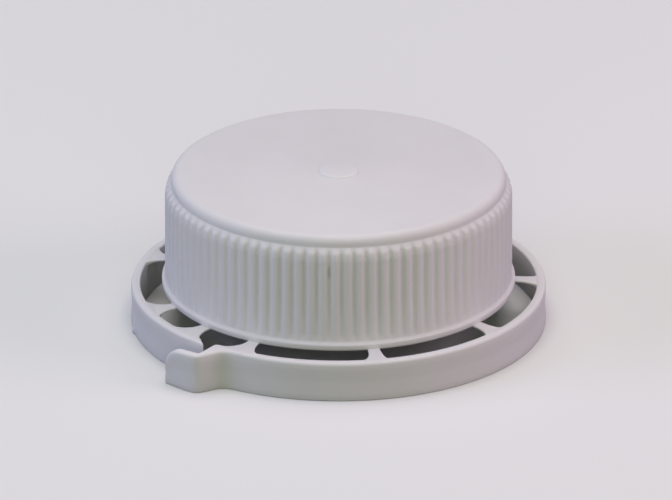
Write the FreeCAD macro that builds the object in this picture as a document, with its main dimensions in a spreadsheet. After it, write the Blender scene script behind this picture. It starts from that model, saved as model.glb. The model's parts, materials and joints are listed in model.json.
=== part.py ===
"""Tamper-evident screw cap, moulded in one piece, as a parametric FreeCAD document.

Frame: millimetres, +Z up, the cap's axis on Z, the foot of the tear-off ring on z = 0.
The front is -Y, and the pull tab is at the front left.
"""
import FreeCAD, Part
import Sketcher
import os

FOLDER = "parts"

# Driving dimensions, in millimetres, degrees (those named angle, turn or azimuth) and plain counts.
SIZES = {
    # radii, worked outward from the bore that takes the neck
    "bore_radius": 19.05,
    "skirt_wall": 1.6,
    "flute_depth": 0.35,
    "flute_count": 88,
    "flute_width": 0.56,
    "flute_floor_width": 0.3,
    "ledge_width": 0.77,
    "rib_lean": 0.22,
    "bead_proud": 0.38,
    "ring_gap": 2.62,
    "ring_wall": 1.1,
    "tab_standoff": 2.45,
    "tab_wall": 1.05,
    # heights
    "ring_height": 4.95,
    "foot_drop": 0.1,
    "skirt_height": 14.5,
    "ledge_drop": 1.38,
    "rib_head_drop": 2.05,
    "rib_lean_drop": 2.95,
    "top_wall": 1.6,
    "bore_height": 7.95,
    "bead_height": 0.83,
    "bead_flare": 0.29,
    # rounds and chamfers; a round drawn as chords has this many
    "shoulder_round": 1.0,
    "shoulder_chords": 4,
    "rim_chamfer": 0.35,
    "tip_round": 2.2,
    "mouth_chamfer": 0.5,
    "bore_step": 0.7,
    "inner_chamfer": 0.5,
    # plug seal, and the room that it leaves for the wall and thread of the neck
    "neck_room": 4.55,
    "seal_wall": 0.9,
    "seal_depth": 3.6,
    "seal_lead": 0.35,
    "seal_lead_height": 0.7,
    # break-away webs
    "web_count": 9,
    "web_neck_width": 1.5,
    "web_neck_height": 0.2,
    "web_neck_drop": 0.1,
    "web_depth": 0.75,
    "web_step": 0.05,
    "web_flare_long": 2.4,
    "web_flare_short": 0.6,
    # where the ring is cut, and the bend that carries the tab, as azimuths from the web beside them
    "cut_inner_angle": -16.3,
    "cut_outer_angle": -11.8,
    "bend_inner_foot_angle": -9.3,
    "bend_inner_head_angle": -8.8,
    "bend_outer_foot_angle": -4.8,
    "bend_outer_head_angle": -8.1,
    "bend_inner_round": 0.5,
    "bend_outer_round": 1.1,
    "tip_angle": -18.2,
    # marks left by the mould
    "gate_radius": 2.3,
    "gate_height": 0.25,
    "gate_chamfer": 0.15,
    "pip_proud": 0.4,
    "pip_width": 0.9,
    "pip_height": 0.8,
    "pip_angle": -51.4,
    # how far a form sinks into the wall that carries it, or a cut runs past what it cuts
    "sink": 0.3,
    # azimuth from a web to the middle of the nearest flute
    "flute_turn": 0.97,
    # the turn of the whole piece about its axis
    "web_azimuth": -118.6,
}

# Radii and heights that follow from the driving dimensions, as expressions of the sheet.
FLUTE_FLOOR = "(cells.bore_radius + cells.skirt_wall)"
GRIP = f"({FLUTE_FLOOR} + cells.flute_depth)"
PANEL = f"({GRIP} - cells.ledge_width)"
BEAD = f"({GRIP} + cells.bead_proud)"
RING_INNER = f"({BEAD} + cells.ring_gap)"
RING_OUTER = f"({RING_INNER} + cells.ring_wall)"
TAB_INNER = f"({RING_OUTER} + cells.tab_standoff)"
TAB_OUTER = f"({TAB_INNER} + cells.tab_wall)"
SEAL_OUTER = "(cells.bore_radius - cells.neck_room)"

FOOT = "(cells.ring_height - cells.foot_drop)"
TOP = f"({FOOT} + cells.skirt_height)"
LEDGE = f"({TOP} - cells.ledge_drop)"
RIB_HEAD = f"({TOP} - cells.rib_head_drop)"
CEILING = f"({TOP} - cells.top_wall)"
BEAD_TOP = f"({FOOT} + cells.bead_height)"
FLARE_TOP = f"({BEAD_TOP} + cells.bead_flare)"
BORE_LOW = f"({FOOT} + cells.mouth_chamfer)"
BORE_TOP = f"({BORE_LOW} + cells.bore_height)"

NEAR = 0.02

# Where the cross-sections of a web stand, as shares of the gap from the bead to the ring.
WEB_STATIONS = (0.05, 0.35, 0.65, 0.85, 0.95, 1)

doc = FreeCAD.newDocument("tamper_evident_cap")


def make_sheet():
    """Put each driving dimension in a row of the sheet, under its own alias."""
    sheet = doc.addObject("Spreadsheet::Sheet", "cells")
    for row, (name, value) in enumerate(SIZES.items(), start=1):
        sheet.set(f"A{row}", name)
        sheet.set(f"B{row}", str(value))
        sheet.setAlias(f"B{row}", name)
    doc.recompute()
    return sheet


def number(expression):
    """Return what an expression of the sheet comes to."""
    value = sheet.evalExpression(expression)
    return float(getattr(value, "Value", value))


def origin_item(body, role):
    """Return one of the body's own origin planes or axes."""
    return next(item for item in body.Origin.OriginFeatures if item.Role == role)


class Sketched:
    """The sketcher's own numbers for its axes and for the points of a side."""
    LEVEL_AXIS, UPRIGHT_AXIS, START, END = -1, -2, 1, 2


def new_sketch(body, name, role, lift="0"):
    """Attach an empty sketch to an origin plane, raised off it by an expression."""
    sketch = body.newObject("Sketcher::SketchObject", name)
    sketch.AttachmentSupport = [(origin_item(body, role), "")]
    sketch.MapMode = "FlatFace"
    sketch.setExpression("AttachmentOffset.Base.z", lift)
    return sketch


def pin(sketch, geometry, place, across, upward):
    """Hold one point of a sketch at the given expressions from the sketch's origin."""
    origin = (Sketched.LEVEL_AXIS, Sketched.START)
    if across == "0":
        sketch.addConstraint(Sketcher.Constraint("PointOnObject", geometry, place, Sketched.UPRIGHT_AXIS))
    else:
        limit = Sketcher.Constraint("DistanceX", *origin, geometry, place, number(across))
        sketch.setExpression(f"Constraints[{sketch.addConstraint(limit)}]", across)
    limit = Sketcher.Constraint("DistanceY", *origin, geometry, place, number(upward))
    sketch.setExpression(f"Constraints[{sketch.addConstraint(limit)}]", upward)


def hold_radius(sketch, geometry, radius):
    """Hold the radius of an arc or circle at an expression."""
    limit = Sketcher.Constraint("Radius", geometry, number(radius))
    sketch.setExpression(f"Constraints[{sketch.addConstraint(limit)}]", radius)


def arc_between(begin, finish, radius, turn):
    """Return the short arc from begin to finish that turns left (+1) or right (-1)."""
    chord = finish - begin
    middle = (begin + finish) * 0.5
    reach = max(radius ** 2 - (chord.Length / 2) ** 2, 0.0) ** 0.5
    side = FreeCAD.Vector(-chord.y, chord.x, 0).normalize() * turn
    centre = middle + side * reach
    bulge = centre - side * radius
    return Part.Arc(begin, bulge, finish)


def outline(sketch, corners):
    """Draw a closed outline; each corner is (across, upward) and may add (radius, turn) of its next side."""
    points = [FreeCAD.Vector(number(corner[0]), number(corner[1]), 0) for corner in corners]
    for index, corner in enumerate(corners):
        begin = points[index]
        finish = points[(index + 1) % len(points)]
        if len(corner) == 2:
            sketch.addGeometry(Part.LineSegment(begin, finish))
        else:
            sketch.addGeometry(arc_between(begin, finish, number(corner[2]), corner[3]))
    for index, corner in enumerate(corners):
        after = (index + 1) % len(corners)
        join = Sketcher.Constraint("Coincident", index, tail(corner), after, head(corners[after]))
        sketch.addConstraint(join)
        pin(sketch, index, head(corner), corner[0], corner[1])
        if len(corner) == 4:
            hold_radius(sketch, index, corner[2])


def head(corner):
    """Return which end of a side is its first point: arcs always run anticlockwise."""
    return Sketched.END if len(corner) == 4 and corner[3] < 0 else Sketched.START


def tail(corner):
    """Return which end of a side is its last point."""
    return Sketched.START if len(corner) == 4 and corner[3] < 0 else Sketched.END


def polar(radius, angle):
    """Return the two plan coordinates of a point given by its radius and azimuth."""
    return f"{radius} * cos({angle})", f"{radius} * sin({angle})"


def quarter_round(across, upward, radius, count):
    """Return the points of a round from upright to level, as chords of equal turn."""
    points = []
    for index in range(count + 1):
        angle = f"({index} * 90 / {count})"
        points.append((f"{across} + {radius} * cos({angle})", f"{upward} + {radius} * sin({angle})"))
    return points


def revolve(body, name, sketch):
    """Turn a sketch all the way round the cap's axis."""
    feature = body.newObject("PartDesign::Revolution", name)
    feature.Profile = sketch
    feature.ReferenceAxis = (sketch, ["V_Axis"])
    feature.Angle = 360
    doc.recompute()
    return feature


def polar_pattern(body, name, original, count, step=None):
    """Repeat a feature round the axis, evenly or a fixed step apart."""
    pattern = body.newObject("PartDesign::PolarPattern", name)
    pattern.Originals = [original]
    pattern.Axis = (origin_item(body, "Z_Axis"), [""])
    if step is None:
        pattern.Angle = 360
        pattern.setExpression("Occurrences", count)
    else:
        pattern.Mode = "Spacing"
        pattern.setExpression("Occurrences", count)
        pattern.setExpression("Offset", step)
    body.Tip = pattern
    doc.recompute()
    return pattern


def edges_where(shape, test):
    """Name the edges of a shape whose middle point passes a test."""
    names = []
    for index, edge in enumerate(shape.Edges, start=1):
        if test(edge.valueAt((edge.FirstParameter + edge.LastParameter) / 2)):
            names.append(f"Edge{index}")
    return names


def soften(body, name, size, test, kind="Fillet"):
    """Round or chamfer the edges of the body so far whose middle point passes a test."""
    base = body.Tip
    feature = body.newObject(f"PartDesign::{kind}", name)
    feature.Base = (base, edges_where(base.Shape, test))
    feature.setExpression("Radius" if kind == "Fillet" else "Size", size)
    doc.recompute()
    return feature


def make_shell(body):
    """Top panel, shoulder, rib heads, skirt and bead, with the stepped bore, as one turned profile."""
    sketch = new_sketch(body, "shell_profile", "XZ_Plane")
    narrow = "(cells.bore_radius - cells.bore_step)"
    shoulder = quarter_round(f"{PANEL} - cells.shoulder_round", f"{TOP} - cells.shoulder_round",
                             "cells.shoulder_round", SIZES["shoulder_chords"])
    outline(sketch, [
        ("0", CEILING),
        (f"{narrow} - cells.inner_chamfer", CEILING),
        (narrow, f"{CEILING} - cells.inner_chamfer"),
        (narrow, f"{BORE_TOP} + cells.bore_step"),
        ("cells.bore_radius", BORE_TOP),
        ("cells.bore_radius", BORE_LOW),
        ("cells.bore_radius + cells.mouth_chamfer", FOOT),
        (BEAD, FOOT),
        (BEAD, BEAD_TOP),
        (GRIP, FLARE_TOP),
        (GRIP, f"{TOP} - cells.rib_lean_drop"),
        (f"{GRIP} - cells.rib_lean", RIB_HEAD),
        (PANEL, LEDGE),
        *shoulder,
        ("0", TOP),
    ])
    return revolve(body, "shell", sketch)


def make_seal(body):
    """Plug seal that hangs from the ceiling and fills the mouth of the neck."""
    sketch = new_sketch(body, "seal_profile", "XZ_Plane")
    lip = f"({CEILING} - cells.seal_depth)"
    inner = f"({SEAL_OUTER} - cells.seal_wall)"
    above = f"{CEILING} + cells.sink"
    outline(sketch, [
        (inner, above),
        (inner, lip),
        (f"{SEAL_OUTER} - cells.seal_lead", lip),
        (SEAL_OUTER, f"{lip} + cells.seal_lead_height"),
        (SEAL_OUTER, above),
    ])
    return revolve(body, "seal", sketch)


def make_flutes(body):
    """Tapered flutes that leave the grip ribs between them."""
    sketch = new_sketch(body, "flute_profile", "XY_Plane")
    sketch.AttachmentOffset = FreeCAD.Placement(FreeCAD.Vector(), FreeCAD.Vector(0, 0, 1), 0)
    sketch.setExpression("AttachmentOffset.Base.z", FLARE_TOP)
    sketch.setExpression("AttachmentOffset.Rotation.Angle", "cells.flute_turn")
    floor = "cells.flute_floor_width / 2"
    flank = "(cells.flute_width - cells.flute_floor_width) / 2 / cells.flute_depth"
    mouth = f"({floor} + {flank} * (cells.flute_depth + cells.bead_proud))"
    outline(sketch, [
        (FLUTE_FLOOR, f"-({floor})"),
        (BEAD, f"-{mouth}"),
        (BEAD, mouth),
        (FLUTE_FLOOR, floor),
    ])
    flute = body.newObject("PartDesign::Pocket", "flute")
    flute.Profile = sketch
    flute.Reversed = True
    flute.setExpression("Length", f"{LEDGE} - {FLARE_TOP}")
    doc.recompute()
    return polar_pattern(body, "flutes", flute, "cells.flute_count")


def web_section(body, name, radius, flare, low, high):
    """Draw one cross-section of a web; flare runs from 0 for the bare neck to 1 at the ring."""
    sketch = new_sketch(body, name, "YZ_Plane", radius)
    left = f"-(cells.web_neck_width / 2 + cells.web_flare_long * {flare})"
    right = f"cells.web_neck_width / 2 + cells.web_flare_short * {flare}"
    outline(sketch, [(left, low), (right, low), (right, high), (left, high)])
    return sketch


def make_webs(body):
    """Break-away webs: thin necks at the bead, which flare into the ring on a quarter ellipse."""
    neck_top = f"({FOOT} + cells.web_neck_height)"
    neck_low = f"({FOOT} - cells.web_neck_drop)"
    ring_top = "(cells.ring_height - cells.web_step)"
    ring_low = "(cells.ring_height - cells.web_depth)"
    sections = [web_section(body, "web_root", f"{BEAD} - cells.sink", "0", FOOT, neck_top)]
    for index, share in enumerate(WEB_STATIONS):
        radius = f"{BEAD} + cells.ring_gap * {share}"
        flare = f"(1 - sqrt(1 - {share}^2))"
        low = f"{neck_low} + ({ring_low} - {neck_low}) * {flare}"
        high = f"{neck_top} + ({ring_top} - {neck_top}) * {share}"
        sections.append(web_section(body, f"web_station_{index}", radius, flare, low, high))
    sections.append(web_section(body, "web_anchor", f"{RING_INNER} + cells.sink", "1", ring_low, ring_top))
    web = body.newObject("PartDesign::AdditiveLoft", "web")
    web.Profile = sections[0]
    web.Sections = sections[1:]
    web.Ruled = True
    doc.recompute()
    polar_pattern(body, "webs", web, "cells.web_count")
    return polar_pattern(body, "web_at_cut", web, "2", "-180 / cells.web_count")


def make_ring(body):
    """Tear-off ring, whole, before it is cut."""
    sketch = new_sketch(body, "ring_profile", "XZ_Plane")
    outline(sketch, [
        (RING_INNER, "0"),
        (RING_OUTER, "0"),
        (RING_OUTER, "cells.ring_height"),
        (RING_INNER, "cells.ring_height"),
    ])
    return revolve(body, "ring", sketch)


def cut_ring(body):
    """The gap between the ring's free end and the bend that carries the tab."""
    sketch = new_sketch(body, "cut_plan", "XY_Plane")
    inner = f"({RING_INNER} - cells.sink)"
    outer = f"({RING_OUTER} + cells.sink)"
    middle = "(cells.bend_inner_foot_angle + cells.bend_outer_foot_angle) / 2"
    outline(sketch, [
        polar(inner, "cells.cut_inner_angle"),
        polar(RING_INNER, "cells.cut_inner_angle"),
        polar(RING_OUTER, "cells.cut_outer_angle"),
        polar(outer, "cells.cut_outer_angle"),
        polar(outer, middle),
        polar(inner, middle),
    ])
    cut = body.newObject("PartDesign::Pocket", "ring_cut")
    cut.Profile = sketch
    cut.Reversed = True
    cut.setExpression("Length", "cells.ring_height")
    doc.recompute()
    return cut


def make_tab(body):
    """Pull tab: the ring's other end steps outward and runs on outside the free end."""
    sketch = new_sketch(body, "tab_plan", "XY_Plane")
    outline(sketch, [
        (RING_INNER, "0", RING_INNER, -1),
        polar(RING_INNER, "cells.bend_inner_foot_angle"),
        polar(TAB_INNER, "cells.bend_inner_head_angle") + (TAB_INNER, -1),
        polar(TAB_INNER, "cells.tip_angle"),
        polar(TAB_OUTER, "cells.tip_angle") + (TAB_OUTER, 1),
        polar(TAB_OUTER, "cells.bend_outer_head_angle"),
        polar(RING_OUTER, "cells.bend_outer_foot_angle") + (RING_OUTER, 1),
        (RING_OUTER, "0"),
    ])
    tab = body.newObject("PartDesign::Pad", "tab")
    tab.Profile = sketch
    tab.setExpression("Length", "cells.ring_height")
    doc.recompute()
    return tab


def is_upright_at(radius, angle):
    """Return a test for the upright edge of the ring or tab at a radius and azimuth."""
    across, upward = polar(radius, angle)
    place = FreeCAD.Vector(number(across), number(upward), number("cells.ring_height") / 2)
    return lambda middle: (middle - place).Length < NEAR


def is_on_rim(middle):
    """Test for the ring's upper outer edge."""
    radius = (middle.x ** 2 + middle.y ** 2) ** 0.5
    on_top = abs(middle.z - number("cells.ring_height")) < NEAR
    return on_top and abs(radius - number(RING_OUTER)) < NEAR


def is_tip_top(middle):
    """Test for the short edge across the top of the tab's tip."""
    across, upward = polar(f"(({TAB_INNER} + {TAB_OUTER}) / 2)", "cells.tip_angle")
    place = FreeCAD.Vector(number(across), number(upward), number("cells.ring_height"))
    return (middle - place).Length < NEAR


def round_tab(body):
    """Round the bend and the tab's tip, then chamfer the upper outer edge all along ring and tab."""
    soft = "cells.bend_outer_round"
    firm = "cells.bend_inner_round"
    soften(body, "bend_foot", soft, is_upright_at(RING_OUTER, "cells.bend_outer_foot_angle"))
    soften(body, "bend_head", soft, is_upright_at(TAB_OUTER, "cells.bend_outer_head_angle"))
    soften(body, "bend_hollow", firm, is_upright_at(TAB_INNER, "cells.bend_inner_head_angle"))
    soften(body, "bend_corner", firm, is_upright_at(RING_INNER, "cells.bend_inner_foot_angle"))
    soften(body, "tip", "cells.tip_round", is_tip_top)
    return soften(body, "rim", "cells.rim_chamfer", is_on_rim, "Chamfer")


def make_gate_mark(body):
    """Low button left by the moulding gate at the centre of the top."""
    sketch = new_sketch(body, "gate_profile", "XZ_Plane")
    high = f"({TOP} + cells.gate_height)"
    outline(sketch, [
        ("0", f"{TOP} - cells.sink"),
        ("cells.gate_radius", f"{TOP} - cells.sink"),
        ("cells.gate_radius", f"{high} - cells.gate_chamfer"),
        ("cells.gate_radius - cells.gate_chamfer", high),
        ("0", high),
    ])
    return revolve(body, "gate_mark", sketch)


def make_pip(body):
    """Small pip left on the ring's lower edge by the mould."""
    sketch = new_sketch(body, "pip_plan", "XY_Plane")
    inner = f"({RING_OUTER} - cells.sink)"
    outer = f"({RING_OUTER} + cells.pip_proud)"
    spread = f"(cells.pip_width / {RING_OUTER} / 2 * 180 / pi)"
    outline(sketch, [
        polar(inner, f"cells.pip_angle - {spread}"),
        polar(outer, f"cells.pip_angle - {spread} / 2"),
        polar(outer, f"cells.pip_angle + {spread} / 2"),
        polar(inner, f"cells.pip_angle + {spread}"),
    ])
    pip = body.newObject("PartDesign::Pad", "pip")
    pip.Profile = sketch
    pip.setExpression("Length", "cells.pip_height")
    doc.recompute()
    return pip


def check_parts():
    """Stop if any object failed, or if the cap is not one valid solid."""
    for item in doc.Objects:
        if "Invalid" in item.State or "Error" in item.State:
            raise RuntimeError(f"{item.Name} failed: {item.State}")
    shape = cap.Shape
    if shape.isNull() or not shape.isValid() or len(shape.Solids) != 1:
        raise RuntimeError(f"{cap.Label} is not one valid solid")


sheet = make_sheet()
cap = doc.addObject("PartDesign::Body", "screw_cap")
cap.Label = "screw_cap"
cap.Placement = FreeCAD.Placement(FreeCAD.Vector(), FreeCAD.Vector(0, 0, 1), 0)
cap.setExpression("Placement.Rotation.Angle", "cells.web_azimuth")

make_shell(cap)
make_seal(cap)
make_gate_mark(cap)
make_webs(cap)
make_ring(cap)
make_pip(cap)
cut_ring(cap)
make_tab(cap)
round_tab(cap)
make_flutes(cap)

doc.recompute()
check_parts()
os.makedirs(FOLDER, exist_ok=True)
cap.Shape.exportStep(os.path.join(FOLDER, f"{cap.Label}.step"))
print(f"{cap.Label}: {cap.Shape.Volume:.1f} mm3, {len(cap.Shape.Faces)} faces")
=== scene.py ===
# %% [markdown]
# # A screw cap with a tear-off ring
# One shot of white polyethylene makes this whole closure: a ribbed screw cap, a ring round its foot, and
# the thin webs that hold the two together until the first opening. The ring is cut at one place, and one
# of its ends steps outward and runs on as the pull tab.
#
# The solid model comes first, as a frame with the real sizes. Everything below is built in that frame, in
# metres, so a form that is worked out from its sizes lands where it belongs with no fitting.

# %% Load the frame
import bpy
import json
import math
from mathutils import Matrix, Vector


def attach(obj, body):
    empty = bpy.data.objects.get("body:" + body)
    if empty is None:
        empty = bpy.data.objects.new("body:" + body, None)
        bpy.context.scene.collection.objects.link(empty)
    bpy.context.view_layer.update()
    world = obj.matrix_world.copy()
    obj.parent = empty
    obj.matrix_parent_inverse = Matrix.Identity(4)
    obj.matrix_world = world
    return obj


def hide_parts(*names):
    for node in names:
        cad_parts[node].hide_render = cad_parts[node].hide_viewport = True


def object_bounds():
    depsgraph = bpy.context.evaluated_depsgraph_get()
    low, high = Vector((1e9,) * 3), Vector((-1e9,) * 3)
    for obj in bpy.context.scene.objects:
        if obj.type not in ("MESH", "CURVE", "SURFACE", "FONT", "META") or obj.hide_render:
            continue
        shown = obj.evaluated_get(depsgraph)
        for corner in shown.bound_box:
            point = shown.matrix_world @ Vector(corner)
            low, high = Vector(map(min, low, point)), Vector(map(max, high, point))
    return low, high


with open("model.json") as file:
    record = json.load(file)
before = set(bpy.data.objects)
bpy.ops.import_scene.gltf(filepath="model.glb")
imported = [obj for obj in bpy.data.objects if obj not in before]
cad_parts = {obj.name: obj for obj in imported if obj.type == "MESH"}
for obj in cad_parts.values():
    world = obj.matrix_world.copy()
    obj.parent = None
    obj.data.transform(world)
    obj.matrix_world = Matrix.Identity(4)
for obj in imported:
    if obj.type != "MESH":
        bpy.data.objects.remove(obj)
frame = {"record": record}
cad_low, cad_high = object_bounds()
print("solid model, mm:", [round(1000 * size, 2) for size in cad_high - cad_low])

# %% [markdown]
# ## Sizes
# A maker thinks of a cap from the neck outward: the bore takes the neck, the wall goes round the bore, the
# ribs stand on the wall, the bead runs below them, and the ring lies outside the bead. The sizes here
# follow the same order. The frame gives the outermost ones and the bore; the rest are walls and steps.

# %% Sizes in millimetres
MM = 0.001
neck = next(mount for mount in frame["record"]["mounts"] if mount["name"] == "neck_thread")
BORE = neck["dims"]["r_mm"]
BORE_LOW = neck["pos_m"][2] / MM - neck["dims"]["length_mm"] / 2
BORE_TOP = neck["pos_m"][2] / MM + neck["dims"]["length_mm"] / 2
BORE_STEP = 0.7

GRIP = BORE + 1.95
FLUTE_DEPTH = 0.28
PANEL = GRIP - 0.77
RIB_SHOULDER = GRIP - 0.16
BEAD = GRIP + 0.38
RING_OUTER = cad_high.x / MM
RING_WALL = 1.1
RING_INNER = RING_OUTER - RING_WALL
TAB_WALL = 1.05
TAB_INNER = RING_OUTER + 2.45
TAB_OUTER = TAB_INNER + TAB_WALL

GATE_HEIGHT = 0.25
TOP = cad_high.z / MM - GATE_HEIGHT
LEDGE = TOP - 1.38
RIB_HEAD = TOP - 1.98
RIB_TOP = TOP - 2.95
CEILING = TOP - 1.6
FOOT = BORE_LOW - 0.46
RING_HEIGHT = FOOT + 0.06
BEAD_TOP = FOOT + 0.80
FLARE_TOP = BEAD_TOP + 0.29

RIBS = 88
WEBS = 9
WEB_AZIMUTH = -118.6
print(f"grip radius {GRIP:.2f}, ring radius {RING_OUTER:.2f}, top at {TOP:.2f} mm")

# %% [markdown]
# ## Two small tools for node trees
# Both Geometry Nodes and materials are graphs of nodes. Written out by hand, a sum such as
# `radius - depth * groove` takes three nodes and four links. Here a `Value` wraps one socket and gives it
# the usual operators, so the sum is written as a sum and the nodes are added behind it.

# %% A value that does its own sums
class Value:
    """One output socket; each operator adds a Math node to its graph."""

    def __init__(self, graph, socket):
        self.graph = graph
        self.socket = socket

    def maths(self, operation, *others):
        node = {"operation": operation}
        return self.graph.add("ShaderNodeMath", node, dict(enumerate((self, *others))))

    def other(self, name):
        """Another output of the same node."""
        return Value(self.graph, self.socket.node.outputs[name])

    def __add__(self, other):
        return self.maths("ADD", other)

    def __radd__(self, other):
        return self.maths("ADD", other)

    def __sub__(self, other):
        return self.maths("SUBTRACT", other)

    def __rsub__(self, other):
        return self.maths("MULTIPLY", -1.0) + other

    def __mul__(self, other):
        return self.maths("MULTIPLY", other)

    def __rmul__(self, other):
        return self.maths("MULTIPLY", other)

    def __truediv__(self, other):
        return self.maths("DIVIDE", other)


class Graph:
    """A node tree, with one way to add any node to it."""

    def __init__(self, tree):
        self.tree = tree

    def add(self, kind, settings=None, inputs=None, output=0):
        """Add a node: its settings first, then the value or link of each socket named."""
        node = self.tree.nodes.new(kind)
        for name, value in (settings or {}).items():
            setattr(node, name, value)
        for name, value in (inputs or {}).items():
            if isinstance(value, Value):
                self.tree.links.new(value.socket, node.inputs[name])
            else:
                node.inputs[name].default_value = value
        return Value(self, node.outputs[output]) if node.outputs else node


# %% [markdown]
# A Geometry Nodes tree is a recipe with named sizes. `grow` hangs the recipe on an object, fills in the
# sizes, takes the finished mesh off and throws the rest away, so that what stays is a plain mesh.

# %% Make a recipe and grow a mesh from it
def new_recipe(name, sizes):
    """Start a Geometry Nodes tree with a named input for each size; return its graph and inputs."""
    tree = bpy.data.node_groups.new(name, "GeometryNodeTree")
    tree.interface.new_socket("Geometry", in_out="INPUT", socket_type="NodeSocketGeometry")
    tree.interface.new_socket("Geometry", in_out="OUTPUT", socket_type="NodeSocketGeometry")
    for label, kind in sizes.items():
        tree.interface.new_socket(label, in_out="INPUT", socket_type=kind)
    graph = Graph(tree)
    return graph, graph.add("NodeGroupInput")


def finish_recipe(graph, geometry, material):
    """End a recipe: instances made real, one material, and the result as output."""
    real = graph.add("GeometryNodeRealizeInstances", None, {"Geometry": geometry})
    coated = graph.add("GeometryNodeSetMaterial", None, {"Geometry": real, "Material": material})
    graph.add("NodeGroupOutput", None, {"Geometry": coated})


def new_object(name, mesh):
    piece = bpy.data.objects.new(name, mesh)
    bpy.context.scene.collection.objects.link(piece)
    return piece


def as_plain_mesh(piece):
    """Apply every modifier of a piece and leave a plain mesh of its own."""
    bpy.context.view_layer.update()
    evaluated = piece.evaluated_get(bpy.context.evaluated_depsgraph_get())
    mesh = bpy.data.meshes.new_from_object(evaluated)
    piece.modifiers.clear()
    piece.data = mesh
    mesh.name = piece.name
    return piece


def grow(name, seed_mesh, graph, sizes):
    """Run a recipe on a seed mesh with the given sizes, set by each socket's identifier."""
    piece = new_object(name, seed_mesh)
    modifier = piece.modifiers.new("recipe", "NODES")
    modifier.node_group = graph.tree
    for item in graph.tree.interface.items_tree:
        if item.in_out == "INPUT" and item.name in sizes:
            modifier[item.identifier] = sizes[item.name]
    as_plain_mesh(piece)
    print(f"{name}: {len(piece.data.vertices)} points, {len(piece.data.polygons)} faces")
    return piece


# %% [markdown]
# ## The plastic
# White polyethylene is not paint: light goes a little way into it and comes out again, which lifts the
# narrow grooves and softens every edge. A mould leaves it satin, never glossy, with a faint unevenness.
# The look is one Principled shader. Its subsurface share and radius are the same everywhere, so they are
# set on the shader itself; only colour, roughness and bump change over the surface.
#
# The patterns read Object coordinates, in metres, so they stay with the plastic from every side.

# %% White moulded plastic
WHITE = (0.725, 0.705, 0.725, 1.0)
SPECK_PLACE = (-1.15, -21.0, 14.9)


def noise(graph, place, scale, detail=2.0):
    """A soft random field between 0 and 1; scale is in waves per metre."""
    settings = {"noise_dimensions": "3D"}
    return graph.add("ShaderNodeTexNoise", settings, {"Vector": place, "Scale": scale, "Detail": detail})


def smooth_step(graph, value, start, stop):
    """0 before start, 1 after stop, with soft ends; start may be the larger."""
    settings = {"interpolation_type": "SMOOTHSTEP"}
    inputs = {"Value": value, "From Min": start, "From Max": stop, "To Min": 0.0, "To Max": 1.0}
    return graph.add("ShaderNodeMapRange", settings, inputs)


def blend(graph, share, first, second):
    """Mix two colours."""
    settings = {"data_type": "RGBA"}
    return graph.add("ShaderNodeMix", settings, {"Factor": share, 6: first, 7: second}, output=2)


def tint(colour, factor):
    return tuple(channel * factor for channel in colour[:3]) + (1.0,)


def make_plastic():
    """White polyethylene: faint clouds, one dark fleck, and a satin, slightly uneven skin."""
    material = bpy.data.materials.new("white_moulded_plastic")
    material.use_nodes = True
    graph = Graph(material.node_tree)
    shader = material.node_tree.nodes["Principled BSDF"]
    place = graph.add("ShaderNodeTexCoord", output="Object")

    cloud = noise(graph, place, 90.0, 3.0)
    colour = blend(graph, smooth_step(graph, cloud, 0.35, 0.65), tint(WHITE, 0.985), tint(WHITE, 1.01))
    settings = {"operation": "SUBTRACT"}
    speck = tuple(size * MM for size in SPECK_PLACE)
    offset = graph.add("ShaderNodeVectorMath", settings, {0: place, 1: speck})
    narrow = graph.add("ShaderNodeVectorMath", {"operation": "MULTIPLY"}, {0: offset, 1: (1.0, 0.3, 0.22)})
    distance = graph.add("ShaderNodeVectorMath", {"operation": "LENGTH"}, {0: narrow}, output="Value")
    mark = smooth_step(graph, distance, 0.30 * MM, 0.10 * MM) * 0.45
    colour = blend(graph, mark, colour, tint(WHITE, 0.45))

    skin = noise(graph, place, 900.0, 4.0)
    roughness = 0.50 + 0.10 * smooth_step(graph, skin, 0.3, 0.7)
    pores = noise(graph, place, 4200.0, 2.0)
    waves = noise(graph, place, 160.0, 1.0)
    height = pores * 0.0025 + waves * 0.05
    bump = graph.add("ShaderNodeBump", None, {"Strength": 0.6, "Distance": 0.1 * MM, "Height": height})

    for socket, value in (("Base Color", colour), ("Roughness", roughness), ("Normal", bump)):
        material.node_tree.links.new(value.socket, shader.inputs[socket])
    shader.subsurface_method = "RANDOM_WALK"
    shader.inputs["Subsurface Weight"].default_value = 0.6
    shader.inputs["Subsurface Radius"].default_value = (1.0, 0.95, 0.9)
    shader.inputs["Subsurface Scale"].default_value = 0.5 * MM
    shader.inputs["Specular IOR Level"].default_value = 0.35
    shader.inputs["IOR"].default_value = 1.5
    return material


plastic = make_plastic()
print("plastic:", len(plastic.node_tree.nodes), "nodes")

# %% [markdown]
# ## The half-section of the shell
# Cut the cap through its axis and look at one side: that outline, turned once round, is the whole shell.
# It starts at the middle of the top, goes out over the shoulder, down the ribs and the bead, back up the
# bore, round the plug seal and to the middle of the ceiling. A mould has no knife edges, so each corner
# carries the radius of its round, and `rounded` replaces it with an arc of short steps.

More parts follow.
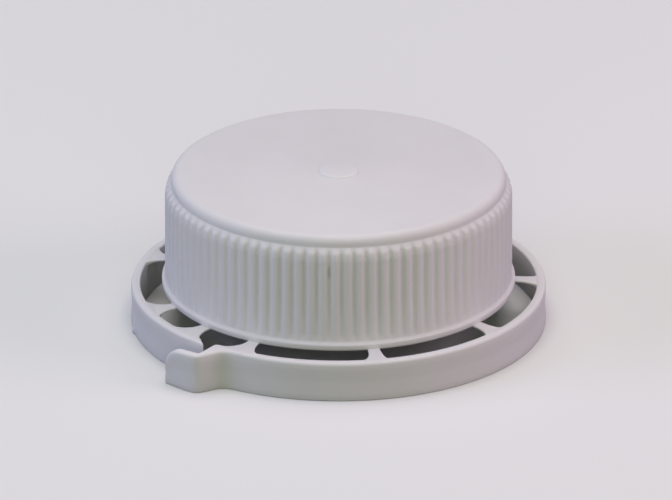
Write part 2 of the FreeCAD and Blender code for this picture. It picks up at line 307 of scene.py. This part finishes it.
# %% Round the corners of an outline
def rounded(corners, step=18.0):
    """Return the outline with each corner (across, up, radius) replaced by an arc."""
    points = []
    for index, (across, up, radius) in enumerate(corners):
        here = Vector((across, up))
        if radius == 0 or index in (0, len(corners) - 1):
            points.append(here)
            continue
        back = (Vector(corners[index - 1][:2]) - here).normalized()
        ahead = (Vector(corners[index + 1][:2]) - here).normalized()
        half = back.angle(ahead) / 2
        centre = here + (back + ahead).normalized() * radius / math.sin(half)
        start = here + back * radius / math.tan(half) - centre
        turn = math.pi - 2 * half
        sign = 1 if back.x * ahead.y - back.y * ahead.x < 0 else -1
        count = max(2, math.ceil(math.degrees(turn) / step))
        for share in range(count + 1):
            angle = sign * turn * share / count
            cosine, sine = math.cos(angle), math.sin(angle)
            turned = Vector((start.x * cosine - start.y * sine, start.x * sine + start.y * cosine))
            points.append(centre + turned)
    return points


SEAL = BORE - 4.55
SEAL_LIP = CEILING - 3.6
GATE = 2.3
half_section = rounded([
    (0, TOP + GATE_HEIGHT, 0),
    (GATE, TOP + GATE_HEIGHT, 0.2),
    (GATE + 0.1, TOP, 0.12),
    (PANEL, TOP, 1.05),
    (PANEL, LEDGE, 0.14),
    (RIB_SHOULDER, RIB_HEAD, 0.8),
    (GRIP, RIB_TOP, 2.0),
    (GRIP, (RIB_TOP + FLARE_TOP) / 2, 0),
    (GRIP, FLARE_TOP + 1, 0),
    (GRIP, FLARE_TOP, 0.2),
    (BEAD, BEAD_TOP, 0.2),
    (BEAD, FOOT, 0.32),
    (BORE + 0.5, FOOT, 0.1),
    (BORE, BORE_LOW, 0.3),
    (BORE, BORE_TOP, 0.3),
    (BORE - BORE_STEP, BORE_TOP + BORE_STEP, 0.3),
    (BORE - BORE_STEP, CEILING, 0.6),
    (SEAL, CEILING, 0.3),
    (SEAL, SEAL_LIP + 0.7, 0.5),
    (SEAL - 0.35, SEAL_LIP, 0.12),
    (SEAL - 0.9, SEAL_LIP, 0.2),
    (SEAL - 0.9, CEILING, 0.4),
    (0, CEILING, 0),
], step=22.5)
section_mesh = bpy.data.meshes.new("half_section")
section_points = [(point.x * MM, 0, point.y * MM) for point in half_section]
section_mesh.from_pydata(section_points, [(i, i + 1) for i in range(len(section_points) - 1)], [])
print("half-section:", len(section_points), "points")

# %% [markdown]
# ## The shell and its ribs
# The grip ribs repeat 88 times round the skirt, so a recipe makes them. It lays out a flat grid with one
# column for each step round the cap and one row for each point of the half-section, bends it round the
# axis, and lets every column sink where it crosses a flute. Even columns would put as many points on the
# back of a rib as in the groove beside it, so each rib's columns are bunched towards its flute. A flute
# sinks at most to its root, which leaves the plain band above the ribs whole, and it grows shallower
# towards the bead.
#
# A boolean with 88 cutters would give the same grooves with worse faces and no soft edges.

# %% The recipe for a fluted shell
BUNCHING = 0.45


def fluted_shell_recipe():
    """A half-section turned once round, with flutes sunk into what stands out past the rib root."""
    float_size, count = "NodeSocketFloat", "NodeSocketInt"
    graph, size = new_recipe("fluted_shell", {
        "Ribs": count, "Columns": count, "Turn": float_size, "Grip Radius": float_size,
        "Flute Depth": float_size, "Flute Floor": float_size, "Flute Mouth": float_size,
        "Flute Foot": float_size, "Flute End": float_size, "Fade Low": float_size,
        "Fade Height": float_size, "Rib Root": float_size,
        "Material": "NodeSocketMaterial"})
    ribs = size.other("Ribs")
    depth = size.other("Flute Depth")
    grip = size.other("Grip Radius")
    section = size.other("Geometry")

    rows = graph.add("GeometryNodeAttributeDomainSize", {"component": "MESH"}, {"Geometry": section})
    columns = ribs * size.other("Columns") + 1
    grid = graph.add("GeometryNodeMeshGrid", None, {"Vertices X": columns, "Vertices Y": rows})
    flat = graph.add("ShaderNodeSeparateXYZ", None, {0: graph.add("GeometryNodeInputPosition")})
    round_share = flat + 0.5
    row = ((flat.other("Y") + 0.5) * (rows - 1)).maths("ROUND")
    point = graph.add("GeometryNodeSampleIndex", {"data_type": "FLOAT_VECTOR"},
                      {"Geometry": section, "Value": graph.add("GeometryNodeInputPosition"), "Index": row})
    section_place = graph.add("ShaderNodeSeparateXYZ", None, {0: point})
    radius, height = section_place, section_place.other("Z")

    count_round = round_share * ribs
    whole = count_round.maths("FLOOR")
    within = count_round - whole - 0.5
    bunched = within - (within * math.tau).maths("SINE") * (BUNCHING / math.tau)
    angle = (whole + bunched + 0.5) * math.tau / ribs + size.other("Turn")

    away = bunched.maths("ABSOLUTE") * grip * math.tau / ribs
    groove = smooth_step(graph, away, size.other("Flute Mouth") / 2, size.other("Flute Floor") / 2)
    foot = size.other("Flute Foot")
    end = smooth_step(graph, height, foot, foot + size.other("Flute End"))
    fade = ((height - size.other("Fade Low")) / size.other("Fade Height")).maths("MINIMUM", 1.0)
    proud = (radius - size.other("Rib Root")).maths("MAXIMUM", 0.0).maths("MINIMUM", depth)
    sunk = radius - proud * groove * fade * end

    place = graph.add("ShaderNodeCombineXYZ", None, {
        "X": sunk * angle.maths("COSINE"), "Y": sunk * angle.maths("SINE"), "Z": height})
    bent = graph.add("GeometryNodeSetPosition", None, {"Geometry": grid, "Position": place})
    closed = graph.add("GeometryNodeMergeByDistance", None, {"Geometry": bent, "Distance": 0.001 * MM})
    soft = graph.add("GeometryNodeSetShadeSmooth", None, {"Geometry": closed})
    finish_recipe(graph, soft, size.other("Material"))
    return graph


FLUTE_AZIMUTH = WEB_AZIMUTH + 0.97
shell = grow("screw_cap_moulding", section_mesh, fluted_shell_recipe(), {
    "Ribs": RIBS,
    "Columns": 10,
    "Turn": math.radians(FLUTE_AZIMUTH) - math.pi / RIBS,
    "Grip Radius": GRIP * MM,
    "Flute Depth": FLUTE_DEPTH * MM,
    "Flute Floor": 0.16 * MM,
    "Flute Mouth": 1.06 * MM,
    "Flute Foot": (FLARE_TOP + 0.02) * MM,
    "Flute End": 0.35 * MM,
    "Fade Low": 2.0 * MM,
    "Fade Height": 8.0 * MM,
    "Rib Root": (PANEL + 0.25) * MM,
    "Material": plastic,
})

# %% [markdown]
# ## The tear-off ring and its tab
# The ring and the tab are one strip of plastic. It starts at the cut, goes all the way round the foot of
# the cap, steps outward in a soft bend and ends as the tab, outside the place where it began. So it is
# modelled as a strip: two plan lines, the inner wall and the outer wall, walked together in small steps,
# with the same rounded section set between them at each step. The cut is slanted, so the two walls start at
# different angles, and the steps are closer round the small pip and along the bend.

# %% Plan lines of the strip, with angles in degrees past the first web
CUT_INNER = -16.3
CUT_OUTER = -11.8
BEND_INNER = (-9.3, -8.8)
BEND_OUTER = (-4.8, -8.1)
TIP = -18.2
PIP = -51.4
PIP_REACH = 3
LAP_END = -352


def on_plan(radius, angle):
    """A plan point from its radius and its angle past the first web."""
    azimuth = math.radians(WEB_AZIMUTH + angle)
    return Vector((radius * math.cos(azimuth), radius * math.sin(azimuth)))


def walk(radius, start, stop, count):
    return [on_plan(radius, start + (stop - start) * i / count) for i in range(count)]


def straight(start, stop, count):
    return [start.lerp(stop, i / count) for i in range(count)]


def softened(line, passes, first, last):
    """Round the corners of a line by averaging neighbours between two of its points."""
    line = [point.copy() for point in line]
    for _ in range(passes):
        before = [point.copy() for point in line]
        for i in range(first, last):
            line[i] = before[i] / 2 + (before[i - 1] + before[i + 1]) / 4
    return line


def plan_line(ring_radius, tab_radius, cut, bend, passes):
    """The inner or outer wall of the strip, from the cut round to the tip of the tab."""
    leaving, landing = bend
    line = walk(ring_radius, cut, PIP + PIP_REACH, 60)
    line += walk(ring_radius, PIP + PIP_REACH, PIP - PIP_REACH, 24)
    line += walk(ring_radius, PIP - PIP_REACH, LAP_END, 300)
    line += walk(ring_radius, LAP_END, leaving - 360, 20)
    bend_start = len(line)
    line += straight(on_plan(ring_radius, leaving), on_plan(tab_radius, landing), 22)
    line += walk(tab_radius, landing, TIP, 30) + [on_plan(tab_radius, TIP)]
    return softened(line, passes, bend_start - 18, bend_start + 50)


inner_wall = plan_line(RING_INNER, TAB_INNER, CUT_INNER, BEND_INNER, 8)
outer_wall = plan_line(RING_OUTER, TAB_OUTER, CUT_OUTER, BEND_OUTER, 26)
print("strip:", len(inner_wall), "steps")

# %% [markdown]
# The section of the strip is a tall rectangle with a generous round on its upper outer edge, small rounds
# elsewhere, and an outer face that is very slightly hollow. Along the tab the upper edge sinks towards the
# tip and turns down over it in a quarter round, which is where a thumb nail catches. A small pip of
# plastic stands on the lower edge where the mould's halves meet.

# %% Section of the strip
HOLLOW = 0.07
FOOT_ROUND = 0.14
TOP_ROUND_INSIDE = 0.22
TOP_ROUND_OUTSIDE = 0.38


def strip_section(wall, height):
    """The section's outline for a wall and a height in millimetres, as (across, up) pairs."""
    return rounded([
        (wall / 2, 0.0, 0),
        (wall, 0.0, FOOT_ROUND),
        (wall, height * 0.16, 0.6),
        (wall - HOLLOW, height * 0.5, 3.0),
        (wall, height * 0.8, 0.6),
        (wall, height, TOP_ROUND_OUTSIDE),
        (0.0, height, TOP_ROUND_INSIDE),
        (0.0, 0.0, FOOT_ROUND),
        (wall / 2, 0.0, 0),
    ], step=24.0)[:-1]


def loop_mesh(name, loops, closed=False):
    """Skin a row of loops of equal length, and close both ends unless the row is a ring."""
    count = len(loops[0])
    faces = []
    for step in range(len(loops) - (0 if closed else 1)):
        here, after = step * count, (step + 1) % len(loops) * count
        for i in range(count):
            j = (i + 1) % count
            faces.append((here + i, here + j, after + j, after + i))
    if not closed:
        faces.append(tuple(range(count))[::-1])
        faces.append(tuple((len(loops) - 1) * count + i for i in range(count)))
    mesh = bpy.data.meshes.new(name)
    mesh.from_pydata([point for loop in loops for point in loop], [], faces)
    mesh.update()
    return mesh


# %% The strip
TIP_SAG, TIP_SAG_LENGTH = 0.35, 6.0
TIP_FALL, TIP_ROUND = 1.9, 2.1
PIP_PROUD, PIP_UP, PIP_WIDTH = 0.4, 0.4, 0.42


def smooth(value, start, stop):
    share = min(max((value - start) / (stop - start), 0.0), 1.0)
    return share * share * (3 - 2 * share)


def strip_loops():
    """The strip's section at every step of its plan lines, with the tab's tip and the pip worked in."""
    loops = []
    travelled = [0.0]
    for here, after in zip(outer_wall, outer_wall[1:]):
        travelled.append(travelled[-1] + (after - here).length)
    pip_place = on_plan(RING_OUTER, PIP)
    for inside, outside, way in zip(inner_wall, outer_wall, travelled):
        across = outside - inside
        to_tip = travelled[-1] - way
        sag = TIP_SAG * max(0.0, 1 - to_tip / TIP_SAG_LENGTH) ** 2
        corner = max(0.0, 1 - to_tip / TIP_ROUND)
        fall = sag + TIP_FALL * (1 - math.sqrt(1 - corner ** 2))
        pip = PIP_PROUD * math.exp(-((outside - pip_place).length / PIP_WIDTH) ** 2)
        loop = []
        for reach, up in strip_section(across.length, RING_HEIGHT):
            lowered = up - fall * smooth(up, 0.8, RING_HEIGHT - 0.5)
            level = math.exp(-((up - PIP_UP) / PIP_UP) ** 2)
            bulge = pip * smooth(reach, across.length * 0.6, across.length) * level
            plan = inside + across.normalized() * (reach + bulge)
            loop.append((plan.x * MM, plan.y * MM, lowered * MM))
        loops.append(loop)
    return loops


strip = new_object("tear_strip", loop_mesh("tear_strip", strip_loops()))
print("strip:", len(strip.data.polygons), "faces")

# %% [markdown]
# ## The break-away webs
# Nine webs stand evenly between bead and ring, and a tenth is added beside the cut. Each is a thin neck at
# the bead, which is what snaps, and widens into the ring on a quarter ellipse so that it stays on the
# ring afterwards. It flares more on one side, the side that the tear runs into, and the webs near the cut,
# where the pull starts, flare more than the rest.

# %% Two shapes of web
WEB_NECK = 1.45
WEB_EDGE = 0.10
WEB_STATIONS = 14
SINK = 0.3


def web_loops(flare_ahead, flare_behind):
    """Sections of one web that lies along +X, from inside the bead to inside the ring."""
    loops = []
    neck_low, neck_high = FOOT - 0.10, FOOT + 0.20
    ring_low, ring_high = RING_HEIGHT - 0.80, RING_HEIGHT - 0.05
    for index in range(-1, WEB_STATIONS + 1):
        turn = math.pi / 2 * min(max(index / (WEB_STATIONS - 1), 0), 1)
        share, flare = math.sin(turn), 1 - math.cos(turn)
        sink = SINK * ((index == WEB_STATIONS) - (index < 0))
        reach = BEAD + (RING_INNER - BEAD) * share + sink
        left = -(WEB_NECK / 2 + flare_ahead * flare)
        right = WEB_NECK / 2 + flare_behind * flare
        low = neck_low + (ring_low - neck_low) * flare
        high = neck_high + (ring_high - neck_high) * share
        middle = (left + right) / 2
        outline = rounded([
            (middle, low, 0),
            (right, low, WEB_EDGE),
            (right, high, WEB_EDGE),
            (left, high, WEB_EDGE),
            (left, low, WEB_EDGE),
            (middle, low, 0),
        ], step=30.0)[:-1]
        loops.append([(reach * MM, side * MM, up * MM) for side, up in outline])
    return loops


wide_web = new_object("wide_web", loop_mesh("wide_web", web_loops(3.0, 1.5)))
slim_web = new_object("slim_web", loop_mesh("slim_web", web_loops(1.2, 0.6)))
for web in (wide_web, slim_web):
    web.hide_render = True


# %% The recipe for a ring of webs
def web_ring_recipe():
    """Webs turned round the axis: an even ring of them and one half a step back, wide near the cut."""
    graph, size = new_recipe("web_ring", {
        "Wide Web": "NodeSocketObject", "Slim Web": "NodeSocketObject", "Webs": "NodeSocketInt",
        "Wide From": "NodeSocketInt", "Azimuth": "NodeSocketFloat", "Material": "NodeSocketMaterial"})
    webs = size.other("Webs")
    points = graph.add("GeometryNodeMeshLine", None, {"Count": webs + 1, "Offset": (0.0, 0.0, 0.0)})
    index = graph.add("GeometryNodeInputIndex")
    is_extra = index.maths("COMPARE", webs, 0.5)
    angle = (index - is_extra * 0.5) * math.tau / webs + size.other("Azimuth")
    rotation = graph.add("ShaderNodeCombineXYZ", None, {"Z": angle})
    is_first = index.maths("COMPARE", 0.0, 0.5)
    is_wide = is_first + index.maths("GREATER_THAN", size.other("Wide From") - 0.5)
    rings = []
    for choice, name in ((is_wide, "Wide Web"), (1.0 - is_wide, "Slim Web")):
        one = graph.add("GeometryNodeObjectInfo", None, {"Object": size.other(name)}, output="Geometry")
        rings.append(graph.add("GeometryNodeInstanceOnPoints", None, {
            "Points": points, "Selection": choice, "Instance": one, "Rotation": rotation}))
    both = graph.add("GeometryNodeJoinGeometry")
    for ring in rings:
        graph.tree.links.new(ring.socket, both.socket.node.inputs[0])
    finish_recipe(graph, both, size.other("Material"))
    return graph


webs = grow("webs", bpy.data.meshes.new("webs"), web_ring_recipe(), {
    "Wide Web": wide_web, "Slim Web": slim_web, "Webs": WEBS, "Wide From": 7,
    "Azimuth": math.radians(WEB_AZIMUTH), "Material": plastic})

# %% [markdown]
# ## The thread
# One ridge winds up inside the bore, right-handed, with a pitch of 4 mm. Its section is a low trapezoid
# with rounded corners; swept along a spiral it gives the thread, and its radius shrinks at both ends so
# that it runs out into the wall.

# %% The recipe for a thread
THREAD_PITCH = 4.0
THREAD_TURNS = 1.45
THREAD_DEPTH = 0.95
THREAD_FOOT = FOOT + 1.8
RUN_OUT = 26.0
END_SHARE = 0.25


def thread_recipe():
    """A section swept along a spiral, smaller at both ends of the spiral."""
    graph, size = new_recipe("thread", {
        "Radius": "NodeSocketFloat", "Pitch": "NodeSocketFloat", "Turns": "NodeSocketFloat",
        "Foot": "NodeSocketFloat", "Steps": "NodeSocketInt", "Material": "NodeSocketMaterial"})
    section = graph.add("GeometryNodeMeshToCurve", None, {"Mesh": size.other("Geometry")})
    rise = size.other("Pitch") * size.other("Turns")
    spiral = graph.add("GeometryNodeCurveSpiral", None, {
        "Resolution": size.other("Steps"), "Rotations": size.other("Turns"),
        "Start Radius": size.other("Radius"), "End Radius": size.other("Radius"), "Height": rise})
    upright = graph.add("GeometryNodeSetCurveNormal", None, {"Curve": spiral})
    upright.socket.node.mode = "Z_UP"
    way = graph.add("GeometryNodeSplineParameter", output="Factor")
    ends = (way * (1.0 - way) * RUN_OUT).maths("MINIMUM", 1.0) * (1 - END_SHARE) + END_SHARE
    tapered = graph.add("GeometryNodeSetCurveRadius", None, {"Curve": upright, "Radius": ends})
    swept = graph.add("GeometryNodeCurveToMesh", None,
                      {"Curve": tapered, "Profile Curve": section, "Fill Caps": True})
    soft = graph.add("GeometryNodeSetShadeSmooth", None, {"Geometry": swept})
    lift = graph.add("ShaderNodeCombineXYZ", None, {"Z": size.other("Foot")})
    lifted = graph.add("GeometryNodeTransform", None, {"Geometry": soft, "Translation": lift})
    finish_recipe(graph, lifted, size.other("Material"))
    return graph


ridge = rounded([
    (SINK, -0.9, 0), (-THREAD_DEPTH, -0.35, 0.2), (-THREAD_DEPTH, 0.35, 0.2), (SINK, 0.9, 0)], step=30.0)
ridge_mesh = bpy.data.meshes.new("ridge")
ridge_mesh.from_pydata([(point.x * MM, point.y * MM, 0) for point in ridge],
                       [(i, (i + 1) % len(ridge)) for i in range(len(ridge))], [])
thread = grow("thread", ridge_mesh, thread_recipe(), {
    "Radius": BORE * MM, "Pitch": THREAD_PITCH * MM, "Turns": THREAD_TURNS,
    "Foot": THREAD_FOOT * MM, "Steps": 150, "Material": plastic})

# %% [markdown]
# ## One moulding
# The real cap is one piece, so its forms are united into one closed skin. Without that, light inside the
# plastic would stop at the hidden walls where two forms overlap.

# %% Unite the forms
for form in (strip, webs, thread):
    cutter = shell.modifiers.new("join", "BOOLEAN")
    cutter.operation = "UNION"
    cutter.solver = "EXACT"
    cutter.object = form
as_plain_mesh(shell)
for spare in (strip, webs, thread, wide_web, slim_web):
    bpy.data.objects.remove(spare)
shell.data.materials.clear()
shell.data.materials.append(plastic)
shell.data.polygons.foreach_set("material_index", [0] * len(shell.data.polygons))
shell.data.polygons.foreach_set("use_smooth", [True] * len(shell.data.polygons))
shell.data.set_sharp_from_angle(angle=math.radians(42))
print("moulding:", sum(len(face.vertices) - 2 for face in shell.data.polygons), "triangles")

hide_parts("screw_cap")
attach(shell, "root")

# %% [markdown]
# ## Floor, light and camera
# A pale floor, a broad soft lamp overhead, and one lamp each at the left, the right and the front. The left
# one is cool, the right one rose and the front one faintly yellow. Together they are near white, and each
# side of the cap takes a little of the colour of the lamp it faces. The floor shows pale to the camera and
# in reflections, and gives less light back to the cap, so that the upright walls stay darker than the top.
#
# The camera stands far off behind a long lens, which draws the round top as a nearly true ellipse.

# %% Floor
FLOOR_REACH = 3.0
FLOOR_LIGHT = (0.14, 0.14, 0.14, 1)
FLOOR_SEEN = (0.80, 0.80, 0.80, 1)


def make_floor():
    """A square floor that looks paler than the light it gives back."""
    corners = [(across * FLOOR_REACH, along * FLOOR_REACH, 0) for across, along in
               ((-1, -1), (1, -1), (1, 1), (-1, 1))]
    mesh = bpy.data.meshes.new("floor")
    mesh.from_pydata(corners, [], [(0, 1, 2, 3)])
    floor = new_object("floor", mesh)
    material = bpy.data.materials.new("pale_floor")
    material.use_nodes = True
    graph = Graph(material.node_tree)
    ray = graph.add("ShaderNodeLightPath", output="Is Camera Ray")
    seen = ray.maths("MAXIMUM", ray.other("Is Glossy Ray")).maths("MAXIMUM", ray.other("Is Transmission Ray"))
    colour = blend(graph, seen, FLOOR_LIGHT, FLOOR_SEEN)
    shader = material.node_tree.nodes["Principled BSDF"]
    material.node_tree.links.new(colour.socket, shader.inputs["Base Color"])
    shader.inputs["Roughness"].default_value = 0.9
    shader.inputs["Specular IOR Level"].default_value = 0.1
    floor.data.materials.append(material)


make_floor()


# %% Lamps
def soft_lamp(name, place, size, power, colour):
    """A square soft lamp that faces the middle of the cap."""
    lamp = bpy.data.lights.new(name, "AREA")
    lamp.shape = "SQUARE"
    lamp.size = size
    lamp.energy = power
    lamp.color = colour
    holder = bpy.data.objects.new(name, lamp)
    bpy.context.scene.collection.objects.link(holder)
    holder.location = place
    facing = Vector((0, 0, 0.01)) - Vector(place)
    holder.rotation_euler = facing.to_track_quat("-Z", "Y").to_euler()


soft_lamp("overhead", (0.0, 0.05, 0.75), 0.7, 3.6, (1.0, 0.92, 0.96))
soft_lamp("left", (-0.75, -0.15, 0.30), 0.5, 2.45, (0.59, 0.63, 1.0))
soft_lamp("right", (0.75, -0.15, 0.30), 0.5, 2.2, (1.0, 0.71, 0.95))
soft_lamp("front", (0.0, -0.9, 0.35), 0.5, 1.9, (0.95, 1.0, 0.66))

world = bpy.data.worlds.new("studio")
bpy.context.scene.world = world
world.use_nodes = True
background = world.node_tree.nodes["Background"]
background.inputs["Color"].default_value = (0.81, 1.0, 0.86, 1.0)
background.inputs["Strength"].default_value = 0.18

# %% Camera
AIM = Vector((-0.31, 0.0, 9.01)) * MM
ELEVATION = math.radians(23.25)
DISTANCE = 2.4
LENS = 1062.5
camera = bpy.data.cameras.new("camera")
camera.sensor_width = 36.0
camera.lens = LENS
viewer = bpy.data.objects.new("camera", camera)
bpy.context.scene.collection.objects.link(viewer)
viewer.location = AIM + DISTANCE * Vector((0, -math.cos(ELEVATION), math.sin(ELEVATION)))
viewer.rotation_euler = (AIM - viewer.location).to_track_quat("-Z", "Y").to_euler()
bpy.context.scene.camera = viewer
bpy.context.scene.view_settings.view_transform = "Standard"
